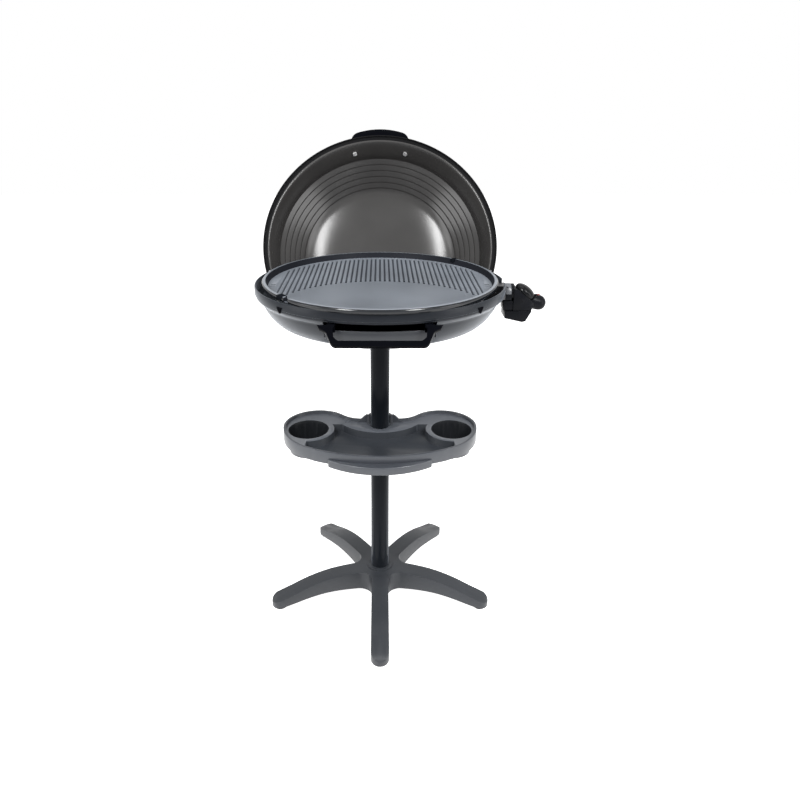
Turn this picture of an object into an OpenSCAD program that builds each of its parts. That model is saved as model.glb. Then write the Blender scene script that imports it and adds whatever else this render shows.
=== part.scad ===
// Electric grill with a domed lid, on a pedestal with a shelf.
// Z is up, the origin is on the floor under the pole, and the front is -Y.
// Lengths are millimetres.

/* [Pedestal] */
// Outside diameter of the pole
pole_d = 45; // [38:0.5:52]
// Wall of the pole tubes
pole_wall = 1.5; // [1:0.1:2.5]
// Height of the joint between the two pole tubes
pole_joint_z = 452; // [430:1:458]
// Height of the pole's top end, inside the head
pole_top_z = 750; // [735:1:756]
// Number of legs
leg_count = 5; // [4:1:6]
// Distance of the foot pads from the pole
leg_reach = 265; // [230:1:290]
// Width of a leg
leg_w = 42; // [36:1:50]
// Top of the hub above the floor
hub_h = 68; // [60:1:80]
// Wall of the base casting
base_wall = 4; // [3:0.5:6]
// Radius of the webs between the legs
web_r = 26; // [15:1:40]
// Radius of a foot pad
pad_r = 16; // [12:0.5:17]
// Height of a foot pad
pad_h = 9; // [7:0.5:12]

/* [Shelf] */
// Height of the shelf's deck
deck_z = 470; // [465:1:480]
// Height of the rim above the deck
shelf_rim_h = 8; // [5:0.5:12]
// Depth of the shelf's skirt below the deck
skirt_h = 21; // [19:0.5:26]
// Wall of the shelf moulding
shelf_wall = 3; // [2:0.5:4]
// Half the distance between the round shelf ends
lobe_x = 150; // [140:1:160]
// Radius of the round shelf ends
lobe_r = 80; // [76:1:84]
// Half the distance between the cup wells
cup_x = 170; // [166:1:172]
// Radius of a cup well at its mouth
cup_r = 48; // [42:0.5:49]
// Depth of a cup well
cup_depth = 50; // [35:1:60]
// Depth of the middle pocket
pocket_depth = 18; // [10:0.5:18]

/* [Bowl] */
// Half the width of the bowl's rim
bowl_rx = 277; // [275:1:280]
// Depth of the bowl from front to back as a share of its width
bowl_oval = 0.92; // [0.915:0.005:0.95]
// Height of the bowl's rim
bowl_rim_z = 828; // [826:0.5:828]
// Height of the bowl's underside
bowl_bottom_z = 737; // [733:1:741]
// Wall of the bowl
bowl_wall = 3; // [2.5:0.5:4]

/* [Drip tray] */
// Half the width of the drip tray
tray_hw = 106; // [90:1:106]
// Height of the drip tray's underside
tray_z = 768; // [766:0.5:772]
// Depth of the drip tray
tray_h = 20; // [12:1:20]
// Width of the tray handle's bar
tray_bar_w = 12; // [8:0.5:14]
// Thickness of the tray's handle
tray_bar_t = 9; // [6:0.5:11]

/* [Grill plate] */
// Radius of the grill plate
plate_r = 260; // [257:0.5:261]
// Height of the plate's rim
plate_top_z = 838; // [836:0.5:840]
// Depth of the cooking surface below the rim
plate_dish = 13; // [9:0.5:13]
// Thickness of the cooking surface
plate_t = 6; // [5:0.5:8]
// Distance between two grooves
groove_pitch = 10.8; // [9:0.1:14]
// Width of a groove
groove_w = 4.4; // [3:0.1:6]
// Depth of a groove
groove_depth = 3.5; // [2:0.1:4]

/* [Lid] */
// Radius of the lid's edge
lid_r = 293; // [291:0.5:297]
// Height of the lid's inside at its middle
lid_depth = 150; // [146:1:160]
// Thickness of the lid
lid_t = 2.5; // [2:0.1:3]
// Width of the flat flange round the lid
lid_flange_w = 12.5; // [9:0.5:14]
// Distance of the lid's flattened back from its middle
lid_back = 262; // [260:1:264]
// Radius of the lid's flattened back, seen from above
back_r = 330; // [326:1:345]
// Number of ring steps in the lid
ring_count = 6; // [4:1:7]
// How far the lid turns open
lid_open = 121; // [100:1:122]

/* [Lid hinge] */
// Distance of the hinge pins behind the pole
hinge_y = 124; // [120:1:128]
// Height of the hinge pins
hinge_z = 790; // [784:1:793]
// Diameter of the hinge pins
hinge_pin_d = 8; // [6:0.5:10]
// Thickness of the hinge arms
hinge_arm_t = 5; // [4:0.5:6]

/* [Controller] */
// Height of the controller's plug
plug_z = 802; // [800:0.5:804]
// Diameter of the temperature knob
knob_d = 50; // [40:1:54]
// Height of the temperature knob
knob_h = 17; // [12:1:22]
// Tilt of the temperature knob
knob_tilt = 38; // [20:1:45]
// Diameter of the controller's grip
grip_d = 35; // [30:1:38]

/* [Hidden] */
$fn = 64;

e = 0.01;

// Clearances
fit = 0.06;
gap = 0.5;

// Pedestal
pole_r = pole_d / 2;
pole_foot_z = 22;
hub_r = pole_r + 11;
hub_floor_z = 14;
bolt_r = 4;

// Shelf
shelf_rim_w = 5;
lobe_y = -15;
side_r = 130;
front_r = 350;
front_y = -170;
waist_y = 19;
waist_fillet = 60;
cup_y = -24;
cup_bottom_r = cup_r - 5;
saddle_r = pole_r + 9;
saddle_h = 22;
pocket_gap = 13;
pocket_back_r = 117;
pocket_back_y = -42;
collar_r = pole_r + 5.5;
collar_h = 34;
grip_r = 200;
grip_y = -192;
grip_hw = 115;
grip_top_z = deck_z - 8;
grip_h = 19;
connector_h = 130;

// Bowl outline: half width and height above the underside
bowl_h = bowl_rim_z - bowl_bottom_z;
bowl_profile = [
    [0, 0], [bowl_rx - 91, 0], [bowl_rx - 69, 2], [bowl_rx - 56, 6], [bowl_rx - 46, 11.5], [bowl_rx - 37, 19.5],
    [bowl_rx - 29.5, 28], [bowl_rx - 23, 38], [bowl_rx - 17.5, 48.5], [bowl_rx - 13, 58],
    [bowl_rx - 6.5, 63], [bowl_rx - 2, 68.5], [bowl_rx, 75], [bowl_rx, bowl_h]
];
bowl_floor_z = bowl_bottom_z + bowl_wall;
socket_flange_r = 58;
socket_flange_t = 6;
socket_tube_l = 45;
socket_tube_z = bowl_bottom_z - socket_tube_l;
socket_wall = 6;
slot_hw = tray_hw + 4;
slot_top_z = 806;
slot_drop = 3.5;

// Drip tray
tray_front_y = -240;
tray_back_y = 70;
tray_wall = 1.5;
rail_t = 3;
rail_y0 = -194;
rail_w = 12;
rail_web_t = 3;
rail_lip_h = 8;
rail_feet_y = [-80, 40];
rail_foot_l = 20;
tray_bar_drop = 46;
tray_handle_slope = 42;
tray_ear_y = tray_front_y - 3;
tray_ear_z = 801;

// Heat reflector
reflector_z = 793;
reflector_t = 1;
reflector_r = 236;
post_x = 128;
post_y = 60;
post_r = 6;
post_bore_r = 2.5;
post_bore_h = 12;

// Grill plate
plate_rim_w = 8;
cook_z = plate_top_z - plate_dish;
plate_under_z = cook_z - plate_t;
plate_skirt_z = bowl_rim_z + gap;
cook_r = plate_r - plate_rim_w - 5;
smooth_r = 225;
smooth_y = 6;
groove_count = 2 * floor((cook_r - 10) / groove_pitch) - 1;
notch_w = 14;
notch_angle = 224;
rest_hw = 9;
rest_h = 10;

// Heating element
element_r = 5;
element_ring_r = 170;
element_z = plate_under_z - element_r;
element_leg = 52;
terminal_y = 10;
terminal_r = 2.2;
terminal_z = element_z - 2;
terminal_end_x = 274;

// Terminal shroud
shroud_hw = 17;
shroud_x0 = 240;
shroud_x1 = bowl_rx + 4;
shroud_z0 = plug_z - 14;
shroud_t = 1.5;
slot_room = 4;

// Controller
nose_x = 262;
collar_x = shroud_x1 + 3;
body_x = collar_x + 13;
ctl_collar_r = 19;
ctl_hw = 22;
ctl_split_z = 763;
knob_x = 323;
knob_z = plug_z - 3;
grip_start = [305, plug_z - 6];
grip_end = [356, 777];
probe_r = 3;
probe_tip_x = 208;
well_r = 7;
knob_shaft_r = 3;
inlet_r = 3.6;
inlet_x = 310;
inlet_z = 750;
box_x0 = 279;

// Lid, in its own frame: middle of the lip's lower edge, dome up, front -Y
lid_y = 10;
lid_z = 824;
lip_h = 5;
ring_r0 = 260;
ring_r1 = 190;
ring_h0 = 60;
ring_h1 = 134;
riser_run = 0.28;
riser_rise = 0.86;
handle_hw = 75;
handle_y = -322;
handle_h0 = 22;
handle_t = 17;
handle_corner = 24;
handle_arc_r = 185;
handle_l = 110;
handle_bar_w = 18;
handle_arm_w = 26;
handle_slot_corner = 8;
handle_screw_x = 66;

// Hinge
arm_x = 256.5;
boss_r = 13;
boss_l = 56;
pin_grip = 24;
boss_x = arm_x - 1;
arm_r = 12;
arm_tab_t = 2.5;
arm_back = 7;
rivet_r = 2;
rivet_a0 = 17;
rivet_a1 = 28;
stop_r = 4;
stop_reach = 18;
stop_l = 70;

// ---------------------------------------------------------------- helpers

// Copies the children to the other side of the YZ plane as well.
module both_sides() {
    children();
    mirror([1, 0, 0]) children();
}

// A tube round the Z axis.
module tube(r_out, r_in, h) {
    difference() {
        cylinder(r = r_out, h = h);
        translate([0, 0, -e]) cylinder(r = r_in, h = h + 2 * e);
    }
}

// Turns the children so that their Z axis points along +X.
module along_x() {
    rotate([0, 90, 0]) children();
}

// A box given by its two corners.
module block(a, b) {
    translate(a) cube(b - a);
}

// ---------------------------------------------------------------- pedestal

// Plan of the star: legs with round tips, and a round crotch between two legs.
module star_plan(inset) {
    hw = leg_w / 2 - inset;
    offset(r = -web_r - inset, $fn = 40) offset(delta = web_r + inset) {
        circle(r = hub_r - inset, $fn = 40);
        for (i = [0 : leg_count - 1]) rotate(-90 + i * 360 / leg_count) {
            translate([0, -hw]) square([leg_reach, 2 * hw]);
            translate([leg_reach, 0]) circle(r = hw, $fn = 40);
        }
    }
}

// Side view of a leg, from the hub out: top line, tip and arched underside.
module star_form(inset) {
    tip = leg_reach + leg_w / 2;
    rotate_extrude($fn = 96) polygon([
        [0, hub_floor_z - (inset > 0 ? e : 0)],
        [60, hub_floor_z - (inset > 0 ? e : 0)],
        [150, 12 - inset], [230, 9 - inset], [tip + 1, 6 - inset],
        [tip + 1, 17 - inset], [tip - 4, 23 - inset], [tip - 14, 28 - inset],
        [200, hub_h - 26.5 - inset], [130, hub_h - 15 - inset], [80, hub_h - 7.5 - inset],
        [55, hub_h - 3.5 - inset], [0, hub_h - 2 - inset]
    ]);
}

module base_star() {
    color([0.16, 0.18, 0.20]) difference() {
        union() {
            difference() {
                intersection() {
                    linear_extrude(hub_h) star_plan(0);
                    star_form(0);
                }
                intersection() {
                    translate([0, 0, -1]) linear_extrude(hub_h) star_plan(base_wall);
                    union() {
                        star_form(base_wall);
                        tube(leg_reach + leg_w, hub_r + base_wall, hub_floor_z);
                    }
                }
            }
            translate([0, 0, hub_floor_z]) cylinder(r = hub_r, h = hub_h - hub_floor_z);
            leg_ring() translate([0, 0, pad_h]) cylinder(r = 10, h = 27 - pad_h);
        }
        translate([0, 0, pole_foot_z]) cylinder(r = pole_r, h = hub_h);
        translate([0, 0, -e]) cylinder(r = bolt_r + 0.3, h = hub_h);
        leg_ring() translate([0, 0, -1]) cylinder(r = pad_r + 0.3, h = pad_h - 2 + 1);
    }
}

// One copy of the children at each foot pad.
module leg_ring() {
    for (i = [0 : leg_count - 1]) {
        rotate(-90 + i * 360 / leg_count) translate([leg_reach, 0, 0]) children();
    }
}

module foot_pads() {
    color([0.08, 0.08, 0.09]) leg_ring() {
        cylinder(r = pad_r - 1, h = 2);
        translate([0, 0, 1]) cylinder(r = pad_r, h = pad_h - 3.5);
        cylinder(r = 9, h = pad_h);
    }
}

module pole_plug() {
    color([0.7, 0.7, 0.68]) difference() {
        translate([0, 0, pole_foot_z]) cylinder(r = pole_r - pole_wall, h = 24);
        translate([0, 0, pole_foot_z - e]) cylinder(r = bolt_r, h = 20);
    }
}

module hub_washer() {
    color([0.7, 0.7, 0.72]) translate([0, 0, hub_floor_z - 2]) tube(14, bolt_r, 2);
}

module hub_bolt() {
    color([0.6, 0.6, 0.62]) {
        translate([0, 0, hub_floor_z - 7]) cylinder(r = 7.5, h = 5, $fn = 6);
        translate([0, 0, hub_floor_z - 2 - e]) cylinder(r = bolt_r, h = pole_foot_z + 16 - hub_floor_z);
    }
}

module lower_pole() {
    color([0.17, 0.19, 0.21]) translate([0, 0, pole_foot_z])
        tube(pole_r, pole_r - pole_wall, pole_joint_z - pole_foot_z);
}

module pole_connector() {
    color([0.3, 0.31, 0.33]) translate([0, 0, pole_joint_z - connector_h / 2])
        tube(pole_r - pole_wall, pole_r - pole_wall - 2, connector_h);
}

module upper_pole() {
    color([0.17, 0.19, 0.21]) translate([0, 0, pole_joint_z])
        tube(pole_r, pole_r - pole_wall, pole_top_z - pole_joint_z);
}

// ---------------------------------------------------------------- shelf

module shelf_collar() {
    color([0.1, 0.1, 0.11]) translate([0, 0, deck_z - shelf_wall - collar_h]) difference() {
        union() {
            tube(collar_r, pole_r, collar_h);
            intersection() {
                translate([0, 0, collar_h - 4]) tube(collar_r + 9, pole_r, 4);
                block([-60, -60, 0], [60, 12, collar_h]);
            }
            translate([0, collar_r - 2, 8]) rotate([-90, 0, 0]) cylinder(r = 7, h = 8);
        }
        translate([0, collar_r - 7.5, 8]) rotate([-90, 0, 0]) cylinder(r = 2.5, h = 20);
    }
}

// Plan of the shelf, shrunk all round by inset.
module shelf_plan(inset) {
    intersection() {
        union() {
            both_sides() {
                translate([lobe_x, lobe_y]) circle(r = lobe_r - inset);
                intersection() {
                    translate([lobe_x + lobe_r - side_r, lobe_y]) circle(r = side_r - inset);
                    translate([0, -400]) square([400, 400 + lobe_y]);
                }
                difference() {
                    waist_dx = sqrt(pow(lobe_r + waist_fillet, 2) - pow(waist_y + waist_fillet - lobe_y, 2));
                    translate([-e, lobe_y - 100])
                        square([lobe_x, 100 + waist_y - inset - lobe_y + 20]);
                    translate([lobe_x - waist_dx, waist_y + waist_fillet]) circle(r = waist_fillet + inset);
                    translate([-1, waist_y - inset]) square([lobe_x - waist_dx + 1, 50]);
                    translate([lobe_x - lobe_r * 0.42, waist_y - inset]) square([200, 50]);
                }
            }
            circle(r = saddle_r - inset);
            translate([-lobe_x, -300]) square([2 * lobe_x, 300 + lobe_y]);
        }
        translate([0, front_y + front_r]) circle(r = front_r - inset, $fn = 128);
    }
}

// Plan of the pocket, between the cup wells and the pole.
module pocket_plan(inset) {
    difference() {
        intersection() {
            shelf_plan(shelf_rim_w + 2 + inset);
            translate([-cup_x + inset, -400]) square([2 * (cup_x - inset), 400 + 2 - inset]);
        }
        both_sides() translate([cup_x, cup_y]) circle(r = cup_r + pocket_gap + inset);
        translate([0, pocket_back_y + pocket_back_r]) circle(r = pocket_back_r + inset);
    }
}

// One cup well at its place, as a solid from its floor to the deck.
module cup_form(wall, floor_z) {
    both_sides() translate([cup_x, cup_y, floor_z])
        cylinder(r1 = cup_bottom_r + wall, r2 = cup_r + wall, h = deck_z - floor_z);
}

module shelf_tray() {
    color([0.15, 0.17, 0.19]) difference() {
        union() {
            difference() {
                translate([0, 0, deck_z - skirt_h]) linear_extrude(skirt_h + shelf_rim_h) shelf_plan(0);
                translate([0, 0, deck_z]) linear_extrude(shelf_rim_h + 1) shelf_plan(shelf_rim_w);
                translate([0, 0, deck_z - skirt_h - 1])
                    linear_extrude(skirt_h + 1 - shelf_wall) shelf_plan(shelf_wall);
            }
            cup_form(shelf_wall, deck_z - cup_depth - shelf_wall);
            translate([0, 0, deck_z - pocket_depth - shelf_wall])
                linear_extrude(pocket_depth) pocket_plan(-shelf_wall);
            intersection() {
                translate([0, 0, deck_z]) tube(saddle_r, pole_r + 3, saddle_h);
                block([-60, 6, deck_z - 1], [60, 60, deck_z + 60]);
            }
        }
        translate([0, 0, deck_z - cup_depth]) both_sides() translate([cup_x, cup_y, 0])
            cylinder(r1 = cup_bottom_r, r2 = cup_r, h = cup_depth + e);
        translate([0, 0, deck_z - pocket_depth]) linear_extrude(pocket_depth + 1) pocket_plan(0);
        translate([0, 0, deck_z - skirt_h - 2]) cylinder(r = pole_r + 0.5, h = skirt_h + 40);
    }
}

module shelf_front_grip() {
    color([0.2, 0.22, 0.24]) difference() {
        translate([0, 0, grip_top_z - grip_h]) intersection() {
            translate([0, grip_y + grip_r, 0]) cylinder(r = grip_r, h = grip_h, $fn = 128);
            block([-grip_hw, -400, -1], [grip_hw, 0, grip_h + 1]);
        }
        translate([0, front_y + front_r, 0]) cylinder(r = front_r, h = deck_z + 50, $fn = 128);
    }
}

// ---------------------------------------------------------------- bowl

// The bowl's outer form, filled, with its wall moved in by inset.
module bowl_form(inset, top = 0) {
    inner = [for (p = bowl_profile) [p[0] == 0 ? 0 : p[0] - inset, p[1] + inset * (1 - p[1] / bowl_h)]];
    translate([0, 0, bowl_bottom_z]) scale([1, bowl_oval, 1]) rotate_extrude($fn = 80)
        polygon(concat(inner, [[inner[len(inner) - 1][0], bowl_h + top], [0, bowl_h + top]]));
}

module bowl() {
    color([0.17, 0.19, 0.22]) difference() {
        union() {
            difference() {
                bowl_form(0);
                bowl_form(bowl_wall, 1);
            }
            difference() {
                both_sides() translate([boss_x - boss_l, hinge_y, hinge_z]) along_x()
                    cylinder(r = boss_r, h = boss_l);
                bowl_form(bowl_wall, 1);
            }
            difference() {
                both_sides() lid_stop_place() cylinder(r = stop_r, h = stop_l);
                bowl_form(bowl_wall, 1);
            }
            intersection() {
                for (a = [45 : 90 : 315]) rotate(a)
                    block([cook_r - 7, -rest_hw, plate_under_z - rest_h], [bowl_rx, rest_hw, plate_under_z - fit]);
                bowl_form(bowl_wall / 2);
            }
        }
        block([-slot_hw, -400, tray_z - slot_drop], [slot_hw, 0, slot_top_z]);
        block([200, -shroud_hw - slot_room, shroud_z0 - slot_room],
            [400, shroud_hw + slot_room, bowl_rim_z + 1]);
        translate([0, 0, bowl_bottom_z - 1]) cylinder(r = pole_r + socket_wall, h = 20);
        translate([0, 0, bowl_bottom_z - 1]) socket_screw_ring() cylinder(r = 2.6, h = 10);
        both_sides() translate([boss_x - pin_grip, hinge_y, hinge_z]) along_x()
            cylinder(r = hinge_pin_d / 2, h = pin_grip + 5);
    }
}

// Frame of the peg on which a hinge arm rests when the lid is open.
module lid_stop_place() {
    translate([arm_x + hinge_arm_t - stop_l, hinge_y, hinge_z]) rotate([-lid_open, 0, 0])
        translate([0, arm_back + gap + stop_r, stop_reach]) along_x() children();
}

module socket_screw_ring() {
    for (a = [45 : 90 : 315]) rotate(a) translate([pole_r + 24, 0, 0]) children();
}

module pole_socket() {
    color([0.12, 0.13, 0.14]) difference() {
        union() {
            translate([0, 0, bowl_bottom_z - socket_flange_t]) cylinder(r = socket_flange_r, h = socket_flange_t);
            translate([0, 0, socket_tube_z])
                cylinder(r = pole_r + socket_wall, h = pole_top_z + 4 - socket_tube_z);
        }
        translate([0, 0, socket_tube_z - 1]) cylinder(r = pole_r + fit, h = pole_top_z + 0.2 - socket_tube_z + 1);
        translate([0, 0, bowl_bottom_z - 20]) socket_screw_ring() cylinder(r = 2.6, h = 40);
    }
}

module socket_screws() {
    color([0.7, 0.7, 0.72]) socket_screw_ring() {
        translate([0, 0, bowl_bottom_z - socket_flange_t - 3]) cylinder(r = 5, h = 3);
        translate([0, 0, bowl_bottom_z - socket_flange_t - e]) cylinder(r = 2.6, h = 16);
        translate([0, 0, bowl_floor_z]) cylinder(r = 5, h = 4, $fn = 6);
    }
}

module tray_rails() {
    color([0.5, 0.5, 0.5]) both_sides() {
        x1 = tray_hw + 1 + rail_web_t;
        top_z = tray_z + rail_lip_h;
        block([x1 - rail_w, rail_y0, tray_z - rail_t - gap], [x1, tray_back_y, tray_z - gap]);
        block([tray_hw + 1, rail_y0, tray_z - rail_t], [x1, tray_back_y, top_z]);
        block([x1 - rail_w, tray_back_y + 1, tray_z - rail_t - gap], [x1, tray_back_y + 4, top_z]);
        block([tray_hw + 1, tray_back_y - 1, tray_z - rail_t], [x1, tray_back_y + 2, top_z]);
        for (y = rail_feet_y) {
            block([tray_hw + 1, y, bowl_floor_z], [x1, y + rail_foot_l, tray_z]);
            block([x1 - rail_w, y, bowl_floor_z], [x1, y + rail_foot_l, bowl_floor_z + 2]);
        }
    }
}

module post_places() {
    for (x = [-post_x, post_x]) for (y = [-post_y, post_y]) translate([x, y, 0]) children();
}

module reflector_posts() {
    color([0.6, 0.6, 0.6]) post_places() {
        difference() {
            translate([0, 0, bowl_floor_z]) cylinder(r = post_r, h = reflector_z - bowl_floor_z);
            translate([0, 0, reflector_z - post_bore_h]) cylinder(r = post_bore_r, h = post_bore_h + 1);
        }
    }
}

module reflector_screws() {
    color([0.7, 0.7, 0.72]) post_places() {
        translate([0, 0, reflector_z - post_bore_h + 1])
            cylinder(r = post_bore_r, h = post_bore_h - 1 + reflector_t + e);
        translate([0, 0, reflector_z + reflector_t]) cylinder(r = post_bore_r + 2, h = 2.5);
    }
}

module heat_reflector() {
    color([0.75, 0.76, 0.78]) difference() {
        translate([0, 0, reflector_z]) rotate_extrude($fn = 96) polygon([
            [88, -3], [90, 0], [190, 0], [230, 9], [reflector_r, 14],
            [reflector_r - 1, 15], [229, 9 + reflector_t], [189.8, reflector_t],
            [89.4, reflector_t], [87, -3 + reflector_t]
        ]);
        post_places() translate([0, 0, reflector_z - 1]) cylinder(r = post_bore_r, h = 4);
        block([190, -shroud_hw - 6, reflector_z - 10], [300, shroud_hw + 6, reflector_z + 40]);
    }
}

// Pivot pin through a bowl boss and a lid arm, with a head outside the arm.
module hinge_pin() {
    pin_l = pin_grip + arm_x + hinge_arm_t + gap - boss_x;
    translate([boss_x - pin_grip, hinge_y, hinge_z]) along_x() {
        cylinder(r = hinge_pin_d / 2, h = pin_l + e);
        translate([0, 0, pin_l]) cylinder(r = hinge_pin_d / 2 + 4, h = 3);
    }
}

module hinge_pin_left() {
    color([0.75, 0.75, 0.77]) mirror([1, 0, 0]) hinge_pin();
}

module hinge_pin_right() {
    color([0.75, 0.75, 0.77]) hinge_pin();
}

// Small clips in the bowl's wall, under the plate's rim.
module rim_clips() {
    color([0.05, 0.06, 0.07]) intersection() {
        both_sides() rotate(-41.5) translate([240, 0, bowl_rim_z - 16]) along_x()
            linear_extrude(60) polygon([[-6, -6], [-6, 6], [7, 0]]);
        difference() {
            bowl_form(-1);
            bowl_form(0, 1);
        }
    }
}

// ---------------------------------------------------------------- drip tray

module drip_tray() {
    color([0.35, 0.37, 0.39]) difference() {
        intersection() {
            block([-tray_hw, -400, tray_z], [tray_hw, tray_back_y, tray_z + tray_h]);
            translate([0, tray_front_y + 400, 0]) cylinder(r = 400, h = 1000, $fn = 128);
        }
        intersection() {
            block([-tray_hw + tray_wall, -400, tray_z + tray_wall],
                [tray_hw - tray_wall, tray_back_y - tray_wall, 900]);
            translate([0, tray_front_y + 400, 0]) cylinder(r = 400 - 2 * tray_wall, h = 1000, $fn = 128);
        }
    }
}

// Half of the U-shaped handle in its own plane: X across, Y down the slope.
module tray_handle_half() {
    top_hw = tray_hw + 14;
    bar_hw = tray_hw - 22;
    polygon([
        [0, tray_bar_drop], [bar_hw, tray_bar_drop], [bar_hw + 5, tray_bar_drop - 2],
        [bar_hw + 9, tray_bar_drop - 6], [bar_hw + 14, tray_bar_drop - 18], [bar_hw + 18, tray_bar_drop - 29],
        [bar_hw + 22, tray_bar_drop - 33], [top_hw - 4, 8], [top_hw, 0],
        [bar_hw + 2, 0], [bar_hw + 6, 6], [bar_hw + 4, tray_bar_drop - 20],
        [bar_hw - 1, tray_bar_drop - tray_bar_w - 3], [bar_hw - 5, tray_bar_drop - tray_bar_w],
        [0, tray_bar_drop - tray_bar_w]
    ]);
}

// U-shaped handle, sloping down and forward from its ears, on a lug over the tray's front wall.
module drip_tray_handle() {
    color([0.06, 0.06, 0.07]) {
        translate([0, tray_ear_y, tray_ear_z]) rotate([180 + tray_handle_slope, 0, 0])
            translate([0, 0, -tray_bar_t / 2]) linear_extrude(tray_bar_t) both_sides() tray_handle_half();
        both_sides() block([tray_hw - 20, tray_ear_y - 1, tray_z + tray_h],
            [tray_hw - 4, tray_front_y + 16, slot_top_z - 2]);
    }
}

// ---------------------------------------------------------------- grill plate

// Front end of a groove at x: on the arc round the smooth zone, or short of the rim.
function groove_y0(x) = max(smooth_y - smooth_r + sqrt(max(0, smooth_r * smooth_r - x * x)),
    -sqrt(pow(cook_r - 6, 2) - x * x));
function groove_y1(x) = sqrt(pow(cook_r - 3, 2) - x * x);

module grooves() {
    for (i = [-(groove_count - 1) / 2 : (groove_count - 1) / 2]) {
        x = i * groove_pitch;
        translate([x, groove_y0(x), cook_z - groove_depth]) {
            cylinder(r = groove_w / 2, h = groove_depth + 1, $fn = 24);
            translate([-groove_w / 2, 0, 0]) cube([groove_w, groove_y1(x) - groove_y0(x), groove_depth + 1]);
        }
    }
}

module grill_plate() {
    color([0.42, 0.45, 0.49]) difference() {
        union() {
            rotate_extrude($fn = 128) polygon([
                [0, plate_under_z], [cook_r + 1, plate_under_z], [cook_r + 3.5, plate_skirt_z + 2],
                [plate_r - 6, plate_skirt_z + 2],
                [plate_r - 6, plate_skirt_z], [plate_r - 1, plate_skirt_z], [plate_r, plate_skirt_z + 2],
                [plate_r, plate_top_z - 3], [plate_r - 2, plate_top_z - 0.6], [plate_r - 4, plate_top_z],
                [plate_r - plate_rim_w, plate_top_z], [plate_r - plate_rim_w - 1.5, plate_top_z - 1],
                [cook_r, cook_z], [0, cook_z]
            ]);
            translate([probe_tip_x - 3, 0, plug_z]) along_x() cylinder(r = well_r, h = 32);
            block([probe_tip_x - 3, -4, plug_z], [probe_tip_x + 29, 4, plate_under_z + 1]);
        }
        grooves();
        for (a = [notch_angle, notch_angle + 180]) rotate(a)
            block([plate_r - plate_rim_w - 3, -notch_w / 2, plate_top_z - 9],
                [plate_r + 5, notch_w / 2, plate_top_z + 5]);
        for (a = [189, 351]) rotate(a)
            block([cook_r - 15, -1.6, plate_under_z - 1], [cook_r - 3, 1.6, plate_top_z]);
        translate([probe_tip_x, 0, plug_z]) along_x() cylinder(r = probe_r + fit, h = 60);
    }
}

module heating_element() {
    start = asin(terminal_y / element_ring_r);
    color([0.25, 0.25, 0.26]) translate([0, 0, element_z]) {
        rotate(start) rotate_extrude(angle = 360 - 2 * start)
            translate([element_ring_r, 0]) circle(r = element_r);
        for (y = [-terminal_y, terminal_y]) translate([element_ring_r * cos(start) - 1, y, 0])
            along_x() cylinder(r = element_r - 0.4, h = element_leg + 1);
    }
}

module terminal_pins() {
    color([0.8, 0.8, 0.8]) for (y = [-terminal_y, terminal_y]) translate([0, y, terminal_z]) along_x() {
        x0 = element_ring_r * cos(asin(terminal_y / element_ring_r)) + element_leg;
        translate([0, 0, x0]) cylinder(r = terminal_r, h = terminal_end_x - x0);
    }
}

module terminal_shroud() {
    color([0.62, 0.63, 0.65]) difference() {
        block([shroud_x0, -shroud_hw, shroud_z0], [shroud_x1, shroud_hw, plate_under_z]);
        block([shroud_x0 + 3, -shroud_hw + shroud_t, shroud_z0 + shroud_t],
            [shroud_x1 + 1, shroud_hw - shroud_t, plate_under_z - shroud_t]);
        for (y = [-terminal_y, terminal_y]) translate([0, y, terminal_z]) along_x() cylinder(r = terminal_r, h = 260);
        translate([0, 0, plug_z]) along_x() cylinder(r = probe_r + 1, h = 260);
    }
}

// ---------------------------------------------------------------- controller

module controller_housing() {
    slope = atan2(grip_start[1] - grip_end[1], grip_end[0] - grip_start[0]);
    color([0.13, 0.14, 0.15]) difference() {
        union() {
            block([nose_x, -shroud_hw + 2.5, shroud_z0 + 3], [collar_x + 1, shroud_hw - 2.5, plate_under_z - 2.5]);
            translate([collar_x, 0, plug_z]) along_x() cylinder(r = ctl_collar_r, h = body_x - collar_x + 2);
            translate([body_x, 0, 0]) rotate([90, 0, 0]) translate([0, 0, -ctl_hw]) linear_extrude(2 * ctl_hw)
                polygon([[0, ctl_split_z], [0, plug_z + 12], [8, plug_z + 10], [30, plug_z - 8], [46, plug_z - 22],
                    [40, ctl_split_z]]);
            translate([grip_start[0], 0, grip_start[1]]) rotate([0, 90 + slope, 0])
                cylinder(d = grip_d, h = norm(grip_end - grip_start));
            translate([grip_end[0], 0, grip_end[1]]) sphere(d = grip_d);
            translate([knob_x, 0, knob_z]) rotate([0, knob_tilt, 0]) translate([0, 0, -14])
                cylinder(d = knob_d - 4, h = 14);
        }
        block([200, -80, 700], [body_x + 100, 80, ctl_split_z]);
        for (y = [-terminal_y, terminal_y]) translate([nose_x - 1, y, terminal_z]) along_x()
            cylinder(r = terminal_r + 0.1, h = 20);
        translate([nose_x - 1, 0, plug_z]) along_x() cylinder(r = probe_r, h = 21);
        translate([knob_x, 0, knob_z]) rotate([0, knob_tilt, 0]) {
            translate([0, 0, -12]) cylinder(r = knob_shaft_r + fit, h = 20);
            cylinder(d = knob_d + 3, h = 40);
        }
        translate([grip_end[0], 0, grip_end[1] + grip_d / 2 - 2]) cylinder(r = 4, h = 10);
    }
}

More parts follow.
